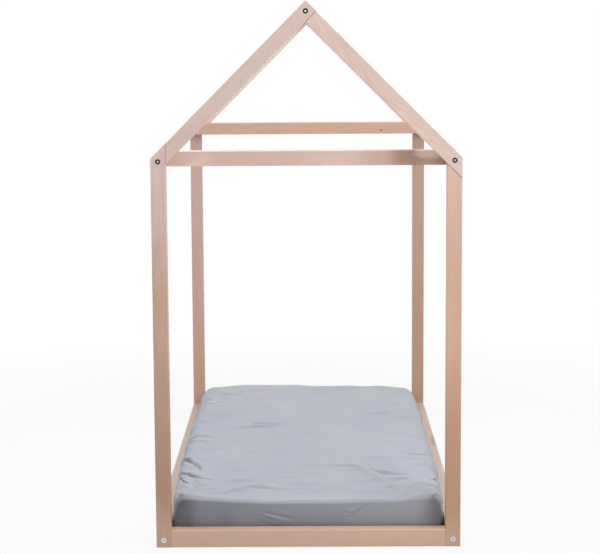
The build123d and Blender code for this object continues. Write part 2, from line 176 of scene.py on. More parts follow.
def timber(name, bar, tones, seed, late=0.10, fleck=0.09, ring=0.0032, mark=None):
    """Wood of one bar. The bar is its middle, its direction, the direction across one face, and
    half its width, depth and length. Tones are (place, colour) from the low end up. Late and
    fleck say how dark growth rings and ray flecks are, and ring how wide a growth ring is. A mark
    is (place, reach along, reach across, colour)."""
    middle, along, across, half_width, half_depth, half_length = bar
    chance = random.Random(seed)
    third = along.cross(across)
    material, wire = new_finish(name)
    point = wire.place()
    length = point.along(along) - along.dot(middle)
    width = point.along(across) - across.dot(middle)
    depth = point.along(third) - third.dot(middle)

    shift = chance.uniform(3, 90)
    run, cross = SWAYS
    sway = wire.cloud(length * run + shift, width * cross, depth * cross, 1.0) * SWAY - SWAY / 2
    angle, reach = chance.uniform(0, math.tau), chance.uniform(PITH_NEAR, PITH_FAR)
    pith_x = width + sway + reach * math.cos(angle)
    pith_y = depth + sway * 0.6 + reach * math.sin(angle)
    radius = wire.math("SQRT", pith_x * pith_x + pith_y * pith_y)
    run, cross = WOBBLES
    uneven = wire.cloud(length * run, width * cross + shift, depth * cross) * WOBBLE
    rings = wire.math("POWER", (radius + uneven).wave(ring), RING_SHARPNESS)
    run, cross = FIBRES
    fibre = wire.cloud(length * run, width * cross + shift, depth * cross, 3.0)
    run, cross = BROAD_PATCHES
    patch = wire.cloud(length * run + shift, width * cross, depth * cross, 3.0)
    run, cross = RAY_FLECKS
    rays = wire.cloud(length * run, width * cross + shift, depth * cross, 0.0).step(0.66, 0.80)
    cut = wire.faces(along)
    edge = wire.math("MINIMUM", abs(width) - half_width, abs(depth) - half_depth)
    edge = edge.step(SANDED_FROM, SANDED_TO)

    (low_end, tone), *further = tones
    colour = length.step(-1, 1).mix((*tone, 1), (*tone, 1))
    for place, next_tone in further:
        share = length.step(low_end - half_length, place - half_length)
        colour = share.mix(colour, (*next_tone, 1))
        low_end = place
    colour = (rings * late + rays * (1 - cut) * fleck).mix(colour, LATE_WOOD)
    if mark:
        spot, reach_along, reach_across, spot_tone = mark
        squares = 0.0
        for axis, extent in ((along, reach_along), (across, reach_across), (third, reach_across)):
            off = (point.along(axis) - axis.dot(spot)) * (1 / extent)
            squares = off * off + squares
        run, cross = MARK_RIMS
        ragged = (wire.cloud(length * run, width * run, depth * cross, 3.0) - 0.5) * MARK_RAGGED
        away = wire.math("SQRT", squares) + ragged
        colour = (1 - away.step(MARK_INSIDE, 1.0)).mix(colour, (*spot_tone, 1))
    # Lighter along the sanded edges: partly the sanded wood, partly a painted highlight.
    shade = 1.05 - fibre * 0.16 + (patch - 0.5) * 0.22 - cut * 0.2 + edge * 0.05
    rough = 0.40 + fibre * 0.16 - edge * 0.05 + cut * 0.2
    relief = fibre * 0.6 + rings * 0.25 - rays * 0.3
    return coat(material, colour.dimmed(shade), rough, relief, WOOD_RELIEF, **VARNISH)


def dress(node, material):
    """Gives a piece of the frame its finish."""
    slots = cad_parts[node].data.materials
    slots.clear()
    slots.append(material)


def middle_of(node):
    low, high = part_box(node)
    return (low + high) / 2


def reach_of(node, along):
    """Half the node's extent along a direction."""
    low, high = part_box(node)
    return sum(abs(along[i]) * (high[i] - low[i]) for i in range(3)) / 2


ACROSS, LENGTHWISE, UP = Vector((1, 0, 0)), Vector((0, 1, 0)), Vector((0, 0, 1))
UPHILL_RIGHT, UPHILL_LEFT = (ACROSS + UP).normalized(), (UP - ACROSS).normalized()
HALF_BAR = reach_of("front_left_post", ACROSS)
# The posts' tones, from the foot up, are painted light: paler towards their tops, where more light
# falls, and darkest low down.
FRONT_LEFT_POST = ((0.0, (0.61, 0.42, 0.32)), (0.16, (0.51, 0.30, 0.216)),
                   (0.60, (0.64, 0.425, 0.324)), (1.0, (0.82, 0.61, 0.56)))
FRONT_RIGHT_POST = ((0.0, (0.67, 0.43, 0.32)), (0.10, (0.56, 0.337, 0.225)),
                    (0.25, (0.60, 0.346, 0.233)), (0.60, (0.78, 0.494, 0.362)),
                    (1.0, (0.82, 0.55, 0.445)))
REAR_LEFT_POST = ((0.0, (0.68, 0.44, 0.34)), (0.20, (0.65, 0.41, 0.315)), (1.0, (0.66, 0.47, 0.41)))
REAR_RIGHT_POST = ((0.0, (0.62, 0.39, 0.28)), (0.20, (0.575, 0.355, 0.245)),
                   (1.0, (0.56, 0.375, 0.30)))
# Front tie beam tones are painted light: paler at its left end against the post's shade, painted
# shadow of the right rafter near its right end, and painted contact shade at that end.
FRONT_BEAM = ((0.055, (0.86, 0.63, 0.53)), (0.105, (0.90, 0.665, 0.57)), (0.175, (0.77, 0.56, 0.47)),
              (0.35, (0.78, 0.575, 0.485)), (0.48, (0.83, 0.61, 0.51)), (0.585, (0.70, 0.48, 0.39)),
              (0.64, (0.455, 0.29, 0.22)), (0.665, (0.455, 0.29, 0.22)),
              (0.705, (0.62, 0.42, 0.33)), (0.75, (0.44, 0.28, 0.215)))
REAR_BEAM = ((0.0, (0.65, 0.425, 0.31)),)
# The rafters are paler than the posts, partly their own tone and partly painted light from above.
LEFT_RAFTER, RIGHT_RAFTER, REAR_RAFTER = (0.79, 0.61, 0.53), (0.84, 0.64, 0.56), (0.84, 0.67, 0.58)
END_RAIL, SIDE_RAIL, RIDGE = (0.70, 0.48, 0.37), (0.62, 0.475, 0.40), (0.76, 0.55, 0.46)
# A painted highlight on the front tie beam, above its painted shadow.
BEAM_HIGHLIGHT = (Vector((0.312, -0.705, 1.019)), 0.050, 0.024, (0.86, 0.645, 0.535))
KNOT = (Vector((0.246, 0.667, 0.997)), 0.006, 0.005, (0.24, 0.13, 0.09))
WANE = (Vector((0.389, 0.144, 0.062)), 0.105, 0.014, (0.40, 0.345, 0.275))
ridge = middle_of("ridge_beam")
bars = {}
for end, posts, beam, left, right, mark in (
    ("front", (FRONT_LEFT_POST, FRONT_RIGHT_POST), FRONT_BEAM, LEFT_RAFTER, RIGHT_RAFTER, BEAM_HIGHLIGHT),
    ("rear", (REAR_LEFT_POST, REAR_RIGHT_POST), REAR_BEAM, REAR_RAFTER, REAR_RAFTER, KNOT),
):
    bars[f"{end}_left_post"] = (UP, ACROSS, posts[0], None)
    bars[f"{end}_right_post"] = (UP, ACROSS, posts[1], None)
    bars[f"{end}_left_rafter"] = (UPHILL_RIGHT, LENGTHWISE, ((0, left),), None)
    bars[f"{end}_right_rafter"] = (UPHILL_LEFT, LENGTHWISE, ((0, right),), None)
    bars[f"{end}_tie_beam"] = (ACROSS, LENGTHWISE, beam, mark)
    bars[f"{end}_end_rail"] = (ACROSS, LENGTHWISE, ((0, END_RAIL),), None)
for side, mark in (("left", None), ("right", WANE)):
    bars[f"{side}_side_rail"] = (LENGTHWISE, ACROSS, ((0, SIDE_RAIL),), mark)
bars["ridge_beam"] = (LENGTHWISE, UPHILL_RIGHT, ((0, RIDGE),), None)
for seed, (node, (along, across, tones, mark)) in enumerate(bars.items()):
    middle = middle_of(node)
    if "rafter" in node:
        middle = Vector((ridge.x, middle.y, ridge.z))
    half_depth = reach_of(node, UP) if "rail" in node else HALF_BAR
    bar = (middle, along, across, HALF_BAR, half_depth, reach_of(node, along))
    dress(node, timber(f"beech_{node}", bar, tones, seed, mark=mark))

# ---- slatted base ---------------------------------------------------------------------------
# Two spruce ledgers are screwed to the side rails, and fourteen sawn spruce slats lie across
# them. The wood is bare and paler and yellower than the frame's, with wide, plain rings.
SPRUCE = ((0, (0.80, 0.63, 0.42)),)
SPRUCE_LATE, SPRUCE_RING = 0.22, 0.0045
LEDGER_SEED, SLAT_SEED = 40, 60


def spruce(node, along, across, seed):
    bar = (middle_of(node), along, across, reach_of(node, across),
           reach_of(node, along.cross(across)), reach_of(node, along))
    return timber(f"spruce_{node}", bar, SPRUCE, seed, SPRUCE_LATE, fleck=0.0, ring=SPRUCE_RING)


for node in ("left_slat_ledger", "right_slat_ledger"):
    dress(node, spruce(node, LENGTHWISE, ACROSS, LEDGER_SEED))
slats = sorted(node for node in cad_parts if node.startswith("slat_") and node[5:].isdigit())
for number, node in enumerate(slats):
    dress(node, spruce(node, ACROSS, LENGTHWISE, SLAT_SEED + number))

# ---- webbing and staples under the slats ------------------------------------------------------
# Two undyed polyester tapes, woven plain with a corded edge, hold the slats apart. Each slat is
# stapled to both tapes with galvanised wire staples.
TAPE_SHADOW, TAPE_YARN = (0.58, 0.56, 0.50, 1), (0.84, 0.82, 0.76, 1)
TAPE_PITCH, CORD, TAPE_RELIEF = 0.0016, 0.0022, 0.0004
GALVANISED, WIRE_DULLNESS, METAL_RELIEF = (0.62, 0.63, 0.64), 0.34, 0.00004
DIRT, DRAWING_MARKS, BLOTCHES = (30, 90), (900, 40), 260  # patches per metre
BLOTCH_TONE = 0.86


def plain_weave(wire, first, second, pitch):
    """Height of over-and-under yarns, 0 to 1, from the places along the two directions."""
    over = first.wave(2 * pitch) * second.wave(2 * pitch)
    under = (1 - first.wave(2 * pitch)) * (1 - second.wave(2 * pitch))
    return over + under


def webbing(node):
    material, wire = new_finish(f"webbing_{node}")
    point = wire.place()
    run, width = point.along(LENGTHWISE), point.along(ACROSS) - middle_of(node).x
    weave = plain_weave(wire, run, width, TAPE_PITCH)
    rim_starts = reach_of(node, ACROSS) - CORD
    rim = abs(width).step(rim_starts, rim_starts + CORD / 2)
    dirt_along, dirt_across = DIRT
    dirt = wire.cloud(run * dirt_along, width * dirt_across, 0.0, 3.0)
    colour = (weave * 0.5 + rim * 0.2).mix(TAPE_SHADOW, TAPE_YARN).dimmed(0.92 + dirt * 0.16)
    return coat(material, colour, 0.78 + weave * 0.12, weave + rim * 0.6, TAPE_RELIEF,
                Sheen_Weight=0.15)


def metal(name, tone, dull, across_marks):
    """Plated steel with drawing marks, which run across the given axis, and darker blotches."""
    material, wire = new_finish(name)
    point = wire.place()
    close, drawn_out = DRAWING_MARKS
    marks = wire.cloud(point.along(across_marks) * close, point.along(LENGTHWISE) * drawn_out,
                       0.0, 3.0)
    blotch = wire.cloud(*[point.along(axis) * BLOTCHES for axis in (ACROSS, LENGTHWISE, UP)])
    darker = [BLOTCH_TONE * part for part in tone]
    colour = blotch.step(0.35, 0.7).mix((*tone, 1), (*darker, 1))
    return coat(material, colour, dull + marks * 0.18, marks, METAL_RELIEF, Metallic=1.0)


for node in ("left_slat_strap", "right_slat_strap"):
    dress(node, webbing(node))
dress("strap_staples", metal("galvanised_wire", GALVANISED, WIRE_DULLNESS, ACROSS))

# ---- bolts and their nuts -------------------------------------------------------------------
# Furniture bolts with flat round heads and hexagon sockets, set just below the wood. Those of
# the roof have a bright socket and a dark rim, partly a dark finish and partly painted shadow of
# the counterbore; the foot bolts are zinc plated all over, with painted shade in their sockets.
# They screw into zinc plated barrel nuts and inserts.
DARK_RIM_AND_SHADOW, EAVE_BRIGHT, RIDGE_BRIGHT = (0.035, 0.027, 0.025), (0.62, 0.66, 0.64), (0.95, 0.95, 0.95)
ZINC_FACE, ZINC_SOCKET_SHADE, ZINC = (0.66, 0.69, 0.69), (0.30, 0.31, 0.31), (0.66, 0.67, 0.68)
ROOF_RIM, FOOT_SOCKET = 0.0026, 0.0023  # radius at which the rim's tone begins
TONE_BEFORE, TONE_AFTER = 0.0004, 0.0002  # the two tones blend over this, inside and outside it
TURNING_MARKS, SCRATCHES = 0.00045, 1800  # metres apart, and patches per metre
HEAD_RELIEF, HEAD_DULLNESS, ZINC_DULLNESS = 0.00003, 0.26, 0.28
foot_bolt_x = middle_of("right_side_rail").x
foot_bolt_y = middle_of("rear_end_rail").y


def turned_head(name, node, across, from_middle, rim_from, socket_tone, rim_tone):
    """Head turned on a lathe: socket_tone inside the radius rim_from, rim_tone outside it. The
    bolts' axes lie from_middle to both sides of the bed's middle, at the node's own height."""
    material, wire = new_finish(name)
    point = wire.place()
    aside = abs(point.along(across)) - from_middle
    up = point.along(UP) - middle_of(node).z
    radius = wire.math("SQRT", aside * aside + up * up)
    turned = radius.wave(TURNING_MARKS)
    places = (point.along(ACROSS), point.along(LENGTHWISE), up)
    wear = wire.cloud(*[place * SCRATCHES for place in places], 3.0)
    rim = radius.step(rim_from - TONE_BEFORE, rim_from + TONE_AFTER)
    colour = rim.mix((*socket_tone, 1), (*rim_tone, 1)).dimmed(0.9 + wear * 0.2)
    relief = turned * 0.5 + wear * 0.5
    return coat(material, colour, HEAD_DULLNESS + wear * 0.2, relief, HEAD_RELIEF, Metallic=0.85)


# The roof bolts' dark rim is partly painted shadow of the counterbore; the foot bolts' dark socket
# is painted shade.
ridge_look, eave_look = (ROOF_RIM, RIDGE_BRIGHT, DARK_RIM_AND_SHADOW), (ROOF_RIM, EAVE_BRIGHT, DARK_RIM_AND_SHADOW)
foot_look = (FOOT_SOCKET, ZINC_SOCKET_SHADE, ZINC_FACE)
for finish, node, across, from_middle, look in (
    ("ridge_bolt_steel", "ridge_bolts", ACROSS, 0.0, ridge_look),
    ("eave_bolt_steel", "eave_bolts", ACROSS, foot_bolt_x, eave_look),
    ("foot_bolt_steel", "side_rail_bolts", ACROSS, foot_bolt_x, foot_look),
    ("end_bolt_steel", "end_rail_bolts", LENGTHWISE, foot_bolt_y, foot_look),
):
    dress(node, turned_head(finish, node, across, from_middle, *look))
for node, axis in (("ridge_barrel_nuts", UPHILL_RIGHT), ("side_rail_barrel_nuts", ACROSS),
                   ("end_rail_barrel_nuts", ACROSS), ("tie_beam_inserts", LENGTHWISE),
                   ("ledger_screws", ACROSS), ("slat_screws", UP)):
    dress(node, metal(f"zinc_{node}", ZINC, ZINC_DULLNESS, axis))

# ---- dowels ---------------------------------------------------------------------------------
# Plain beech dowels with bevelled ends, pressed into blind holes beside each bolt so that the
# bolted bar can't turn.
DOWEL = ((0, (0.74, 0.56, 0.38)),)
DOWEL_LATE, DOWEL_RING = 0.12, 0.002
DOWEL_SEED, WHOLE_BED = 90, 1.0
for node, along in (("ridge_dowels", LENGTHWISE), ("tie_beam_dowels", LENGTHWISE),
                    ("side_rail_dowels", LENGTHWISE), ("end_rail_dowels", ACROSS)):
    bar = (middle_of(node), along, UP, WHOLE_BED, WHOLE_BED, reach_of(node, along))
    dress(node, timber(f"dowel_{node}", bar, DOWEL, DOWEL_SEED, DOWEL_LATE, ring=DOWEL_RING))

# ---- mattress ---------------------------------------------------------------------------------
# A block of soft foam in a white quilted ticking cover. Its top is crowned and its edges are
# rolled; beside the rails it swells out over them, and it is flat where it lies on the slats.
foot_corner, head_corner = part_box("fitted_sheet")
HALF_WIDTH, HALF_LENGTH = head_corner.x, head_corner.y
UNDERSIDE, TOP = foot_corner.z, head_corner.z
PLAN_RADIUS, LOW_PLAN_RADIUS, LOWER_RADIUS = 0.044, 0.012, 0.008
EDGE_RADIUS, FOOT_EDGE_RADIUS = 0.034, 0.011  # of the top edges, and of the one at the foot end
SIDE_FALL, FOOT_FALL, HEAD_FALL = 0.009, 0.023, 0.002  # how far the top sinks at its edges
FOOT_REACH, FOOT_EDGE_REACH = 0.26, 0.10  # how far from the foot end its top and edge differ
CROWN = 0.003
UPRIGHT_UP_TO = 0.02  # above the slats; higher up the walls sink with the top
RAIL_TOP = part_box("left_side_rail")[1].z
SWELL_ALONG = (-1.0, -0.83, -0.72, -0.61, -0.42, 0.0, 0.6, 1.0)  # from the foot end to the head
LEFT_SWELL = (0.000, 0.0005, 0.003, 0.007, 0.0145, 0.015, 0.013, 0.012)  # over the left rail there
RIGHT_SWELL = (0.001, 0.005, 0.009, 0.012, 0.0165, 0.014, 0.010, 0.006)
SWELL_RISE, SWELL_END = 0.020, 0.08  # it swells over this height, and less this near the ends
BETWEEN_RAILS = 0.0035  # how far the side walls stand out below the rails' tops
BETWEEN_FROM, BETWEEN_TO = 0.03, 0.04  # above the slats, and above the rails' tops
UNDERCUT, UNDERCUT_RISE = 0.0015, 0.05  # how far the hem draws the walls in, and up to what height
UNDERCUT_START = 0.03  # below the top
OUTER_PART, WALL_PART = (0.72, 1.0), (0.88, 0.95)  # shares of the half width or length
WALL_ROWS = 1.4  # rows of quads up the walls for each cell of their height
PAD_INSET, FOAM_INSET = 0.0090, 0.0102  # folds of the sheet reach down into this room
PAD_CELL, FOAM_CELL = 0.012, 0.018
EVENLY = (0, 1, 0)  # quads of one size, as spaced takes it
SPACING_STEPS = 2001
hem_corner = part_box("sheet_elastic")[1]
HEM = HALF_WIDTH - hem_corner.x


def smooth(value, low, high):
    share = np.clip((value - low) / (high - low), 0, 1)
    return share * share * (3 - 2 * share)


def spaced(half, cell, closer):
    """Places from -half to half, a cell apart, and nearer together around closer = (where, how
    far that reaches, how much nearer)."""
    where, reach, more = closer
    even = np.linspace(-half, half, SPACING_STEPS)
    crowding = np.cumsum(1 + more * np.exp(-((even - where) / reach) ** 2))
    crowding = (crowding - crowding[0]) * (even[1] - even[0])
    count = max(2, round(crowding[-1] / cell))
    return np.interp(np.linspace(0, crowding[-1], count + 1), crowding, even)


def box_skin(counts):
    """Lattice points on a box's skin and the quads between them, as whole numbers."""
    quads = []
    for axis in range(3):
        one, other = (axis + 1) % 3, (axis + 2) % 3
        steps = np.meshgrid(np.arange(counts[one]), np.arange(counts[other]), indexing="ij")
        for level, turns in ((counts[axis], ((0, 0), (1, 0), (1, 1), (0, 1))),
                             (0, ((0, 0), (0, 1), (1, 1), (1, 0)))):
            corners = []
            for more_one, more_other in turns:
                corner = np.zeros(steps[0].shape + (3,), int)
                corner[..., axis] = level
                corner[..., one] = steps[0] + more_one
                corner[..., other] = steps[1] + more_other
                corners.append(corner.reshape(-1, 3))
            quads.append(np.stack(corners, 1))
    quads = np.concatenate(quads)
    points, index = np.unique(quads.reshape(-1, 3), axis=0, return_inverse=True)
    return points, index.reshape(-1, 4)


def roll_edge(inset, drop, radius):
    """New inset and drop of points near an edge that is rounded to the radius."""
    first, second = 1 - inset / radius, 1 - drop / radius
    near = (first > 0) & (second > 0)
    scale = np.maximum(first, second) / np.maximum(np.hypot(first, second), 1e-9)
    return (np.where(near, radius * (1 - first * scale), inset),
            np.where(near, radius * (1 - second * scale), drop))


def mattress_skin(inset, low, cell, closer_x=EVENLY, closer_y=EVENLY):
    """Skin of the mattress drawn in by the inset, with its underside at the level low, in quads
    of about the cell's size. Also gives where each point lies on a cloth spread flat, how far it
    is turned in underneath, and its distance from the nearest corner's seam."""
    half = np.array([HALF_WIDTH - inset, HALF_LENGTH - inset])
    high = TOP - inset
    places_x, places_y = spaced(half[0], cell, closer_x), spaced(half[1], cell, closer_y)
    for places, end in ((places_x, half[0]), (places_y, half[1])):
        for rim in (HEM - end, end - HEM):
            places[np.abs(places - rim).argmin()] = rim  # a row of points along the hem's rim
    levels = np.linspace(low, high, max(2, round(WALL_ROWS * (high - low) / cell)) + 1)
    lattice, quads = box_skin((len(places_x) - 1, len(places_y) - 1, len(levels) - 1))
    plan = np.column_stack([places_x[lattice[:, 0]], places_y[lattice[:, 1]]])
    level = levels[lattice[:, 2]]
    drop = high - level
    aside = half - np.abs(plan)
    from_side = aside.min(1)
    turned_in = np.where(lattice[:, 2] == 0, from_side, 0)
    fallen = drop + turned_in
    over_edge = (aside <= from_side[:, None] + 1e-9) & (fallen > 0)[:, None]
    spread = np.where(over_edge, np.sign(plan) * (half + fallen[:, None]), plan)
    from_seam = np.where(fallen > 0, np.abs(aside[:, 0] - aside[:, 1]), 1.0)

    at_foot = np.exp(-((half[1] + plan[:, 1]) / FOOT_EDGE_REACH) ** 2)
    at_foot = at_foot * (1 - (plan[:, 0] / half[0]) ** 16)
    radius = EDGE_RADIUS - (EDGE_RADIUS - FOOT_EDGE_RADIUS) * at_foot - inset
    rolled, sunk = roll_edge(from_side, drop, radius)
    raised, lifted = roll_edge(from_side, level - low, LOWER_RADIUS)
    upper = level > (low + high) / 2
    inward = np.where(upper, rolled, raised)
    plan = plan * (half - inward[:, None]) / np.maximum(half - from_side[:, None], 1e-9)
    level = np.where(upper, high - sunk, low + lifted)
    plan_radius = LOW_PLAN_RADIUS + (PLAN_RADIUS - LOW_PLAN_RADIUS) * smooth(level, low, high)
    plan_radius = plan_radius[:, None] - inset
    corner = (np.abs(plan) - (half - plan_radius)) / plan_radius
    bent = (corner > 0).all(1)
    scale = corner.max(1) / np.maximum(np.hypot(*corner.T), 1e-9)
    turned = np.sign(plan) * (half - plan_radius * (1 - corner * scale[:, None]))
    plan = np.where(bent[:, None], turned, plan)

    x, y = (plan / half).T
    rise = smooth(level, low + UPRIGHT_UP_TO, high)
    foot = 1 - smooth(plan[:, 1], -half[1], -half[1] + FOOT_REACH)
    fall = SIDE_FALL * np.abs(x) ** 3 * (1 - 0.7 * foot) - CROWN
    fall = fall + FOOT_FALL * foot * (1 - 0.9 * np.abs(x) ** 2.5)
    fall = fall + HEAD_FALL * np.clip(y, 0, 1) ** 6
    left, right = (np.interp(y, SWELL_ALONG, swell) for swell in (LEFT_SWELL, RIGHT_SWELL))
    out = np.where(x < 0, left, right) * smooth(level, RAIL_TOP, RAIL_TOP + SWELL_RISE)
    from_end = half[1] - np.abs(plan[:, 1])
    out = out * (1 - 0.5 * inset / PAD_INSET) * smooth(from_end, 0.0, SWELL_END)
    between = smooth(level, low, low + BETWEEN_FROM)
    between = between * (1 - smooth(level, RAIL_TOP, RAIL_TOP + BETWEEN_TO))
    out = (out + BETWEEN_RAILS * between) * smooth(np.abs(x), *OUTER_PART)
    tuck = UNDERCUT * (1 - smooth(level, low, low + UNDERCUT_RISE))
    tuck = tuck * smooth(fallen, 0.0, UNDERCUT_START)
    near_end, near_side = smooth(np.abs(y), *WALL_PART), smooth(np.abs(x), *WALL_PART)
    moved = np.column_stack([plan[:, 0] + np.sign(x) * (out - tuck * near_side),
                             plan[:, 1] - np.sign(y) * tuck * near_end,
                             level - rise * fall])
    return moved, quads, spread, turned_in, from_seam


def build(name, points, quads, material):
    mesh = bpy.data.meshes.new(name)
    mesh.from_pydata(points.tolist(), [], quads.tolist())
    mesh.shade_smooth()
    mesh.materials.append(material)
    made = bpy.data.objects.new(name, mesh)
    bpy.context.scene.collection.objects.link(made)
    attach(made, "mattress")
    return made


FOAM_DARK, FOAM_LIGHT, FOAM_RELIEF = (0.80, 0.77, 0.64, 1), (0.90, 0.88, 0.76, 1), 0.0006
FOAM_CELLS, FOAM_PORES = 700.0, 160.0  # per metre
TICKING, TICKING_SEAM, TICKING_RELIEF = (0.86, 0.86, 0.84, 1), (0.70, 0.70, 0.69, 1), 0.0015
LOZENGE, KNIT = 0.11, 0.0009


def foam_finish():
    """Cream open-cell foam: rounded cells and a few larger pores."""
    material, wire = new_finish("foam")
    point = wire.place()
    cells, pores = (wire.node("ShaderNodeTexVoronoi", None, {"Vector": point, "Scale": scale})
                    for scale in (FOAM_CELLS, FOAM_PORES))
    hole = 1 - pores.step(0.08, 0.2)
    colour = cells.step(0.1, 0.7).mix(FOAM_DARK, FOAM_LIGHT).dimmed(1 - hole * 0.3)
    return coat(material, colour, 0.85 + cells * 0.1, cells, FOAM_RELIEF)


def ticking_finish():
    """White knitted ticking, quilted in small lozenges."""
    material, wire = new_finish("ticking")
    point = wire.place()
    x, y = point.along(ACROSS), point.along(LENGTHWISE)
    lozenge = wire.math("MINIMUM", (x + y).wave(LOZENGE), (x - y).wave(LOZENGE))
    knit = plain_weave(wire, x, y, KNIT)
    seam = 1 - lozenge.step(0.0, 0.05)
    colour = seam.mix(TICKING, TICKING_SEAM).dimmed(0.94 + knit * 0.06)
    relief = lozenge.step(0.0, 0.5) + knit * 0.1
    return coat(material, colour, 0.82 + knit * 0.1, relief, TICKING_RELIEF, Sheen_Weight=0.2)


foam_points, foam_quads, *_ = mattress_skin(FOAM_INSET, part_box("mattress_core")[0].z, FOAM_CELL)
foam = build("foam_core", foam_points, foam_quads, foam_finish())
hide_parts("mattress_core")
pad_points, pad_quads, *_ = mattress_skin(PAD_INSET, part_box("mattress_cover")[0].z, PAD_CELL)
pad = build("mattress_pad", pad_points, pad_quads, ticking_finish())
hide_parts("mattress_cover")

# ---- fitted sheet -------------------------------------------------------------------------------
# Blue-grey plain-weave cotton, cut flat, seamed at the four corners and pulled tight by an elastic
# in its hem, which is turned in under the mattress. It is a little long for the mattress, so small
# folds run across the bed and in from the left edge.
HEM_RADIUS = 0.048  # of the hem's corners, at its inner rim
HEM_BLEND = 0.02  # the folds die out this far under the mattress
ROUNDING = 1e-6
SHEET_CELL = 0.011
FINE_ACROSS, FINE_ALONG = (-0.35, 0.13, 1.6), (-0.45, 0.25, 1.6)  # smaller quads at the folds

# Each fold is its route over the flat cloth, its half width and its height; a sunk one has a
# height below 0. Those at the left edge pull towards the foot end, and the last four lie on the
# wall there.
FOLDS = (
    (((-0.386, -0.300), (-0.356, -0.290), (-0.338, -0.306), (-0.322, -0.340), (-0.306, -0.395),
      (-0.276, -0.480)), 0.0085, 0.0086),
    (((-0.374, -0.400), (-0.350, -0.432), (-0.329, -0.474), (-0.303, -0.512), (-0.270, -0.540),
      (-0.240, -0.552)), 0.0085, 0.0050),
    (((-0.368, -0.474), (-0.346, -0.506), (-0.324, -0.546), (-0.296, -0.590)), 0.0055, 0.0038),
    (((-0.364, -0.536), (-0.343, -0.570), (-0.320, -0.610), (-0.300, -0.640)), 0.0045, 0.0026),
    (((-0.366, -0.040), (-0.346, -0.048), (-0.318, -0.056), (-0.268, -0.066)), 0.009, 0.0060),
    (((-0.360, -0.098), (-0.336, -0.110), (-0.300, -0.124), (-0.262, -0.128)), 0.007, 0.0034),
    (((-0.376, 0.440), (-0.354, 0.455), (-0.330, 0.472), (-0.300, 0.482)), 0.008, 0.0070),
    (((-0.376, 0.350), (-0.354, 0.366), (-0.328, 0.390), (-0.288, 0.406)), 0.009, 0.0090),
    (((-0.368, 0.062), (-0.350, 0.087), (-0.326, 0.127), (-0.262, 0.106)), 0.010, 0.0072),
    (((-0.190, 0.112), (-0.117, 0.065), (-0.045, 0.080)), 0.012, 0.0046),
    (((-0.230, 0.030), (-0.160, 0.040), (-0.080, 0.020)), 0.011, 0.0042),
    (((0.314, -0.538), (0.334, -0.528), (0.348, -0.512), (0.368, -0.480)), 0.005, 0.0050),
    (((0.300, -0.600), (0.330, -0.585), (0.362, -0.600)), 0.007, 0.0026),
    (((0.145, -0.425), (0.209, -0.488), (0.280, -0.505)), 0.014, 0.0046),
    (((0.236, -0.262), (0.268, -0.262), (0.300, -0.289), (0.350, -0.258)), 0.009, 0.0030),
    (((0.170, 0.220), (0.230, 0.232), (0.300, 0.215)), 0.012, 0.0026),
    (((-0.090, -0.415), (0.088, -0.402), (0.170, -0.436), (0.245, -0.594), (0.335, -0.690)),
     0.030, -0.0060),
    (((-0.250, -0.650), (-0.218, -0.620), (-0.175, -0.587), (-0.124, -0.577), (-0.030, -0.600)),
     0.020, -0.0045),
    (((0.160, -0.722), (0.140, -0.736), (0.126, -0.752), (0.110, -0.775)), 0.006, 0.0032),
    (((0.084, -0.728), (0.106, -0.741), (0.130, -0.731)), 0.004, 0.0024),
    (((-0.036, -0.778), (-0.065, -0.768), (-0.092, -0.758), (-0.122, -0.746)), 0.008, 0.0036),
    (((-0.072, -0.782), (-0.100, -0.770), (-0.130, -0.757)), 0.005, 0.0024),
)
# A fold in section, in half widths from its crest: place, reach and height of each part.
GENTLE_SIDE, STEEP_SIDE, CREST = 1.8, 0.55, 0.8
VALLEY, SWELLING = (0.9, 0.42, -0.9), (2.6, 1.3, 0.45)
FOLD_REACH = 7
PLEATS, PLEAT_WIDTH, PLEAT_HEIGHT, PLEAT_SEED = 40, 0.009, 0.0018, 11
SHORTEST_PLEAT, LONGEST_PLEAT, PLEAT_BEND = 0.04, 0.14, 0.008
PLEATS_ASIDE, PLEATS_ALONG = (0.30, 0.42), (-0.36, 0.66)  # where they start, across and along
MORE_ON_THE_LEFT = 0.6
SLACK_AT_EDGES = (0.10, 0.36)  # the slack grows between these distances from the bed's middle
SEAM_WIDTH, SEAM_HEIGHT = 0.0035, 0.0014
LEAST_ROOM = 0.001  # between the sheet's deepest folds and the mattress cover


def round_rim(points, turned_in):
    """Rounds the corners of the turned-in hem, more and more towards its inner rim."""
    half = np.array([HALF_WIDTH, HALF_LENGTH]) - turned_in[:, None]
    radius = np.maximum(HEM_RADIUS * np.clip(turned_in / HEM, 0, 1), ROUNDING)[:, None]
    plan = points[:, :2]
    corner = (np.abs(plan) - (half - radius)) / radius
    scale = corner.max(1) / np.maximum(np.hypot(*corner.T), 1e-9)
    rounded = np.sign(plan) * (half - radius * (1 - corner * scale[:, None]))
    bent = (corner > 0).all(1) & (turned_in > 0)
    return np.column_stack([np.where(bent[:, None], rounded, plan), points[:, 2]])


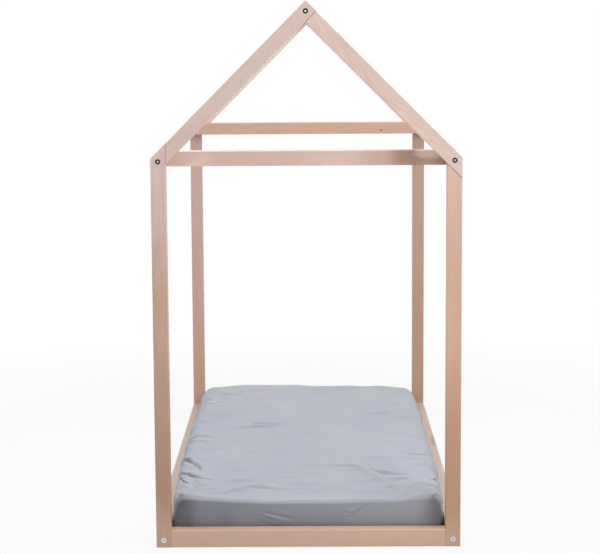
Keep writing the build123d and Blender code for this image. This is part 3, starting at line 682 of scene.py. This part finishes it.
def crease(spread, route, width, height):
    """Height of a fold whose crest follows the route over the flat cloth. It rises gently from
    the left, drops steeply into a valley on the right and swells a little beyond that, and it
    fades out towards both ends."""
    route = np.array(route)
    for _ in range(2):
        cut = np.stack([route[:-1] * 0.75 + route[1:] * 0.25, route[:-1] * 0.25 + route[1:] * 0.75])
        route = np.concatenate([route[:1], cut.transpose(1, 0, 2).reshape(-1, 2), route[-1:]])
    lengths = np.hypot(*np.diff(route, axis=0).T)
    starts = np.concatenate([[0], np.cumsum(lengths)])
    low, high = route.min(0) - FOLD_REACH * width, route.max(0) + FOLD_REACH * width
    close = np.flatnonzero(((spread > low) & (spread < high)).all(1))
    spread, total = spread[close], np.zeros(len(spread))
    nearest = np.full(len(spread), np.inf)
    aside, travel = np.zeros(len(spread)), np.zeros(len(spread))
    for start, end, length, begun in zip(route[:-1], route[1:], lengths, starts):
        step = (end - start) / length
        run = np.clip((spread - start) @ step, 0, length)
        off = spread - start - run[:, None] * step
        distance = np.hypot(*off.T)
        nearer = distance < nearest
        nearest = np.where(nearer, distance, nearest)
        right = np.sign(step[1] * off[:, 0] - step[0] * off[:, 1])
        aside = np.where(nearer, right * distance / width, aside)
        travel = np.where(nearer, begun + run, travel)
    fade = np.sin(np.pi * travel / starts[-1])
    profile = CREST * np.exp(-np.where(aside < 0, aside / GENTLE_SIDE, aside / STEEP_SIDE) ** 2)
    for place, reach, rise in (VALLEY, SWELLING):
        profile = profile + rise * np.exp(-((aside - place) / reach) ** 2)
    total[close] = height * fade * profile
    return total


def slack(points, seed, count, shortest, longest, steepness, squeeze):
    """Sum of seeded waves, higher for the longer ones. Squeeze says how much shorter they are
    along the bed than across it."""
    chance = np.random.default_rng(seed)
    total = np.zeros(len(points))
    for _ in range(count):
        length = math.exp(chance.uniform(math.log(shortest), math.log(longest)))
        heading, phase = chance.uniform(0, math.tau, 2)
        place = points[:, 0] * math.cos(heading) + squeeze * points[:, 1] * math.sin(heading)
        total += length * steepness * np.sin(math.tau * place / length + phase)
    return total / math.sqrt(count)


def cloth_height(points, spread, from_seam):
    """How far the cloth stands off its even skin: folds, small pleats at the edges, slack and
    the raised corner seams."""
    height = sum(crease(spread, *fold) for fold in FOLDS)
    chance = np.random.default_rng(PLEAT_SEED)
    for _ in range(PLEATS):
        side = -1 if chance.random() < MORE_ON_THE_LEFT else 1
        length = chance.uniform(SHORTEST_PLEAT, LONGEST_PLEAT)
        start = np.array([side * chance.uniform(*PLEATS_ASIDE), chance.uniform(*PLEATS_ALONG)])
        end = start + length * np.array([-side, chance.uniform(-0.35, 0.35)])
        start, end = sorted((start, end), key=lambda place: place[0])
        bend = (start + end) / 2 + (0, chance.uniform(-PLEAT_BEND, PLEAT_BEND))
        size = chance.uniform(0.5, 1.0)
        height += crease(spread, (start, bend, end), PLEAT_WIDTH * size, PLEAT_HEIGHT * size)
    near_edge = 0.55 + 0.45 * smooth(np.abs(spread[:, 0]), *SLACK_AT_EDGES)
    height += near_edge * slack(points, seed=5, count=24, shortest=0.05, longest=0.22,
                                steepness=0.017, squeeze=2.8)
    height += slack(points, seed=6, count=16, shortest=0.20, longest=0.60,
                    steepness=0.004, squeeze=1.0)
    height += SEAM_HEIGHT * np.exp(-((from_seam / SEAM_WIDTH) ** 2))
    return np.maximum(height, LEAST_ROOM - PAD_INSET)


SHEET_GAP = 0.0003  # between the cloth and the wood that it lies on
RAIL_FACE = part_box("right_side_rail")[0].x - SHEET_GAP


def pressed_flat(points):
    """Flattens the cloth where it lies on the slats and where it meets the side rails."""
    x, y, z = points.T
    z = np.maximum(z, UNDERSIDE)
    past, below = np.abs(x) - RAIL_FACE, RAIL_TOP + SHEET_GAP - z
    inside = (past > 0) & (below > 0)
    beside = inside & (past < below)
    x = np.where(beside, np.sign(x) * RAIL_FACE, x)
    z = np.where(inside & ~beside, RAIL_TOP + SHEET_GAP, z)
    return np.column_stack([x, y, z])


def read(values, attribute, size=3):
    """An array of what every vertex or attribute entry holds."""
    numbers = np.empty(len(values) * size)
    values.foreach_get(attribute, numbers)
    return numbers.reshape(-1, size)


SHEET_COOL, SHEET_WARM = (0.458, 0.482, 0.562, 1), (0.484, 0.502, 0.560, 1)
# Painted light: the sheet is painted paler towards the head end.
SHEET_HEAD_LIT, HEAD_LIT_ALONG = (0.570, 0.590, 0.620, 1), (0.15, 0.75)
SHEET_YARN, SHEET_RELIEF = 0.0007, 0.00022
SLUB_LONG, SLUB_THICK, SHADE_PATCHES = 90, 1400, 7  # per metre
# Painted shade on the sheet's walls: the side walls a little, the foot and head walls more, most on
# the left, and darkest at the corners beside the posts.
SIDE_SHADE, FOOT_SHADE_LEFT, FOOT_SHADE_RIGHT, CORNER_SHADE = 0.12, 0.32, 0.10, 0.16
CORNER_FROM, CORNER_TO = 0.07, 0.03  # where the corners start to be darker, and are darkest
FOOT_FACING_SHADE = 0.17  # painted shade where the cloth leans towards the foot end


def cotton_finish():
    """Plain weave in blue-grey yarns of uneven thickness, painted paler towards the head end as
    painted light. The walls carry painted shade, those at the ends most of all, and so do the
    slopes of the cloth that lean towards the foot end."""
    material, wire = new_finish("sheet_cotton")
    point = wire.place()
    x, y, z = point.along(ACROSS), point.along(LENGTHWISE), point.along(UP)
    flat = wire.faces(UP)
    end = wire.faces(LENGTHWISE) * (1 - flat)
    first = x * (flat + end) + y * (1 - flat - end)
    second = y * flat + z * (1 - flat)
    weave = plain_weave(wire, first, second, SHEET_YARN)
    slub = wire.cloud(first * SLUB_LONG, second * SLUB_THICK, z * SLUB_LONG)
    slub = slub + wire.cloud(first * SLUB_THICK, second * SLUB_LONG, z * SLUB_LONG)
    shade = wire.cloud(*[place * SHADE_PATCHES for place in (x, y, z)], 3.0).step(0.3, 0.7)
    # Painted shade on the walls, strongest on the end walls and at their corners.
    wall = 1 - wire.faces(UP, 0.15, 0.75)
    most = FOOT_SHADE_RIGHT + (FOOT_SHADE_LEFT - FOOT_SHADE_RIGHT) * (1 - x.step(-0.3, 0.3))
    most = most + abs(x).step(HALF_WIDTH - CORNER_FROM, HALF_WIDTH - CORNER_TO) * CORNER_SHADE
    across_end = wire.faces(LENGTHWISE, 0.5, 0.95)
    # Painted shade on the cloth's slopes that lean towards the foot end.
    leaning = (0 - wire.facing().along(LENGTHWISE)).step(0.08, 0.50) * (1 - across_end)
    dim = (0.86 + slub * 0.12 + weave * 0.05) * (1 - wall * (SIDE_SHADE + across_end * most))
    dim = dim * (1 - leaning * FOOT_FACING_SHADE)
    # Painted light: paler towards the head end.
    head_lit = y.step(*HEAD_LIT_ALONG) * (0.35 + shade * 0.30)
    colour = head_lit.mix(shade.mix(SHEET_COOL, SHEET_WARM), SHEET_HEAD_LIT).dimmed(dim)
    return coat(material, colour, 0.80 + weave * 0.12, weave * 0.6 + slub * 0.4, SHEET_RELIEF,
                Sheen_Weight=0.12, Specular_IOR_Level=0.2)


PUFF_FRAMES, PUFF_PRESSURE, PUFF_LIMIT, HELD_BELOW = 14, 1.5, 0.004, 0.055
MOVED_AT_ENDS, END_FROM, END_TO = 0.15, 0.02, 0.12  # both ends move only this share
TOO_LARGE = 0.012  # share by which the sheet is larger than what it covers


def puff_out(sheet):
    """Lets the foam swell against the sheet, which is a little too large: the cloth is simulated
    under pressure, with the lower walls and the hem held, and no point moves far."""
    started = read(sheet.data.vertices, "co")
    held = sheet.vertex_groups.new(name="held")
    held.add(np.flatnonzero(started[:, 2] < HELD_BELOW).tolist(), 1.0, "REPLACE")
    cloth = sheet.modifiers.new("cloth", "CLOTH")
    cloth.point_cache.frame_end = PUFF_FRAMES
    cloth.collision_settings.use_collision = False
    settings = cloth.settings
    settings.quality = 6
    settings.mass = 0.15
    settings.bending_stiffness = 0.2
    settings.use_pressure = True
    settings.uniform_pressure_force = PUFF_PRESSURE
    settings.shrink_min = -TOO_LARGE
    settings.vertex_group_mass = "held"
    settings.effector_weights.gravity = 0
    for frame_number in range(1, PUFF_FRAMES + 1):
        bpy.context.scene.frame_set(frame_number)
    simulated = sheet.evaluated_get(bpy.context.evaluated_depsgraph_get())
    move = read(simulated.data.vertices, "co") - started
    sheet.modifiers.remove(cloth)
    bpy.context.scene.frame_set(1)
    distance = np.linalg.norm(move, axis=1)[:, None]
    move *= np.minimum(1, PUFF_LIMIT / np.maximum(distance, 1e-9))
    from_end = smooth(HALF_LENGTH - np.abs(started[:, 1:2]), END_FROM, END_TO)
    move *= MOVED_AT_ENDS + (1 - MOVED_AT_ENDS) * from_end
    sheet.data.vertices.foreach_set("co", (started + move).ravel())
    sheet.data.update()


points, quads, spread, turned_in, from_seam = mattress_skin(0.0, UNDERSIDE, SHEET_CELL,
                                                            FINE_ACROSS, FINE_ALONG)
quads = quads[~(turned_in > HEM + ROUNDING)[quads].any(1)]
points = round_rim(points, turned_in)
used, renamed = np.unique(quads, return_inverse=True)
sheet = build("sheet", points[used], renamed.reshape(-1, 4), cotton_finish())
lie = sheet.data.attributes.new("lie", "FLOAT_COLOR", "POINT")
lie.data.foreach_set("color", np.column_stack([spread, turned_in, from_seam])[used].ravel())
puff_out(sheet)
finer = sheet.modifiers.new("finer", "SUBSURF")
finer.levels = 1
fine = bpy.data.meshes.new_from_object(sheet.evaluated_get(bpy.context.evaluated_depsgraph_get()))
sheet.modifiers.remove(finer)
sheet.data = fine
fine.name = "sheet"
points, normals = read(fine.vertices, "co"), read(fine.vertices, "normal")
lie = read(fine.attributes["lie"].data, "color", 4)
spread, turned_in, from_seam = lie[:, :2], lie[:, 2], lie[:, 3]
height = cloth_height(points, spread, from_seam) * (1 - smooth(turned_in, 0.0, HEM_BLEND))
fine.vertices.foreach_set("co", pressed_flat(points + normals * height[:, None]).ravel())
fine.update()
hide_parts("fitted_sheet")

# ---- elastic in the hem -------------------------------------------------------------------------
# A flat knitted band in the cotton casing at the inner rim of the hem. It is sewn in stretched, so
# that it gathers the casing and pulls the hem in under the mattress.
ELASTIC_HALF = (hem_corner.z - UNDERSIDE) / 2
ELASTIC_WIDTH, GATHER_PITCH, GATHER = 0.006, 0.0052, 0.0005
CORNER_STEPS, GATHER_STEPS = 12, 8
ELASTIC_DARK, ELASTIC_LIGHT = (0.46, 0.48, 0.54, 1), (0.62, 0.64, 0.68, 1)
RIB, ELASTIC_RELIEF = 0.0012, 0.0002


def elastic_finish():
    """White knitted elastic under the sheet's own cotton."""
    material, wire = new_finish("elastic")
    point = wire.place()
    x, y = point.along(ACROSS), point.along(LENGTHWISE)
    rib = (x + y).wave(RIB)
    colour = rib.mix(ELASTIC_DARK, ELASTIC_LIGHT)
    return coat(material, colour, 0.8 + rib * 0.1, rib, ELASTIC_RELIEF, Sheen_Weight=0.1)


def elastic_band():
    """Rounded rectangle of the hem's rim, swept by a flat section whose width is gathered."""
    middle = HEM + ELASTIC_WIDTH / 2
    radius = HEM_RADIUS - ELASTIC_WIDTH / 2
    reach = np.array([HALF_WIDTH - middle, HALF_LENGTH - middle])
    rim = []
    for quarter, signs in enumerate(((1, 1), (-1, 1), (-1, -1), (1, -1))):
        centre = (reach - radius) * signs
        for step in range(CORNER_STEPS + 1):
            angle = math.pi / 2 * (quarter + step / CORNER_STEPS)
            rim.append(centre + radius * np.array([math.cos(angle), math.sin(angle)]))
    rim = np.array(rim + rim[:1])
    run = np.concatenate([[0], np.cumsum(np.hypot(*np.diff(rim, axis=0).T))])
    gathers = round(run[-1] / GATHER_PITCH)
    travel = np.linspace(0, run[-1], GATHER_STEPS * gathers, endpoint=False)
    line = np.column_stack([np.interp(travel, run, rim[:, axis]) for axis in (0, 1)])
    along = np.roll(line, -1, axis=0) - np.roll(line, 1, axis=0)
    inward = np.column_stack([-along[:, 1], along[:, 0]]) / np.hypot(*along.T)[:, None]
    wave = GATHER * np.sin(math.tau * gathers * travel / run[-1])
    section = ((-1.0, 0.0), (-0.9, -1.0), (0.9, -1.0), (1.0, 0.0), (0.9, 1.0), (-0.9, 1.0))
    half = ELASTIC_WIDTH / 2
    rings = []
    for wide, high in section:
        offset = wide * (half - GATHER) + wave * wide
        place = line + inward * offset[:, None]
        level = np.full(len(line), UNDERSIDE + ELASTIC_HALF * (1 + high))
        rings.append(np.column_stack([place, level]))
    points = np.stack(rings, 1).reshape(-1, 3)
    here = np.arange(len(line))
    after = np.roll(here, -1)
    quads = []
    corners = len(section)
    for corner in range(corners):
        beyond = (corner + 1) % corners
        quads.append(np.column_stack([here * corners + corner, after * corners + corner,
                                      after * corners + beyond, here * corners + beyond]))
    return points, np.concatenate(quads)


elastic = build("hem_elastic", *elastic_band(), elastic_finish())
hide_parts("sheet_elastic")

# ---- floor, lamps and camera ----------------------------------------------------------------
# A plain pale floor that runs out into white, a soft lamp on either side of the foot end and one
# overhead, and a camera with a long lens that looks a little down at the foot end.
FLOOR_TONE = 0.82
FLOOR_GLOW = 0.85  # share of the floor that is white however it is lit, for the camera alone
WHITE_FROM, WHITE_AT = 1.1, 2.6  # metres from the bed: the floor starts to be, and is, all white
AMBIENT, FLOOR_SIZE = 0.45, 60

scene = bpy.context.scene
scene.view_settings.view_transform = "Standard"

bpy.ops.mesh.primitive_plane_add(size=FLOOR_SIZE)
floor = bpy.context.object
floor.name = "floor"
floor_finish, wire = new_finish("floor")
floor.data.materials.append(floor_finish)
nodes, links = floor_finish.node_tree.nodes, floor_finish.node_tree.links
nodes.remove(nodes["Principled BSDF"])


def seen_directly(wire):
    """1 on rays from the camera, and on what polished metal reflects and glass lets through."""
    seen = wire.node("ShaderNodeLightPath", output="Is Camera Ray")
    for kind in ("Is Glossy Ray", "Is Transmission Ray"):
        seen = wire.math("MAXIMUM", seen, wire.node("ShaderNodeLightPath", output=kind))
    return seen


away = wire.node("ShaderNodeVectorMath", {"operation": "LENGTH"}, {0: wire.place()}, "Value")
glow = seen_directly(wire) * (FLOOR_GLOW + (1 - FLOOR_GLOW) * away.step(WHITE_FROM, WHITE_AT))
matt = wire.node("ShaderNodeBsdfDiffuse", None, {"Color": (*[FLOOR_TONE] * 3, 1)})
white = wire.node("ShaderNodeEmission", None, {"Color": (1, 1, 1, 1), "Strength": 1.0})
mixed = wire.node("ShaderNodeMixShader", None, {0: glow, 1: matt, 2: white})
links.new(mixed.socket, nodes["Material Output"].inputs["Surface"])

world = bpy.data.worlds.new("studio")
scene.world = world
world.use_nodes = True
sky = seen_directly(Wire(world.node_tree))
room = world.node_tree.nodes["Background"]
room.inputs["Color"].default_value = (1, 1, 1, 1)
world.node_tree.links.new((AMBIENT + (1 - AMBIENT) * sky).socket, room.inputs["Strength"])


def lamp(name, place, aim, size, power):
    """Soft rectangular lamp that faces the point it aims at."""
    data = bpy.data.lights.new(name, "AREA")
    data.shape = "RECTANGLE"
    data.size, data.size_y = size
    data.energy = power
    made = bpy.data.objects.new(name, data)
    scene.collection.objects.link(made)
    made.location = place
    made.rotation_euler = (Vector(aim) - Vector(place)).to_track_quat("-Z", "Y").to_euler()


lamp("left", place=(-1.6, -2.0, 2.3), aim=(-0.1, -0.5, 0.7), size=(1.4, 1.4), power=13)
lamp("right", place=(1.8, -2.0, 2.3), aim=(0.1, -0.5, 0.7), size=(1.4, 1.4), power=29)
lamp("overhead", place=(0.0, 0.1, 2.9), aim=(0.0, 0.0, 0.0), size=(1.6, 2.0), power=34)

CAMERA_PLACE = (0.010, -5.033, 1.319)
CAMERA_ANGLES = (("Z", 0.36), ("X", 90 - 7.13), ("Z", -0.35))  # degrees: turn, pitch and roll
FOCAL_LENGTH, CAMERA_SHIFT = 102.5, -0.05
camera_data = bpy.data.cameras.new("camera")
camera = bpy.data.objects.new("camera", camera_data)
scene.collection.objects.link(camera)
camera.location = CAMERA_PLACE
turn, pitch, roll = (Matrix.Rotation(math.radians(angle), 3, axis) for axis, angle in CAMERA_ANGLES)
camera.rotation_euler = (turn @ pitch @ roll).to_euler()
camera_data.lens = FOCAL_LENGTH
camera_data.shift_y = CAMERA_SHIFT
scene.camera = camera
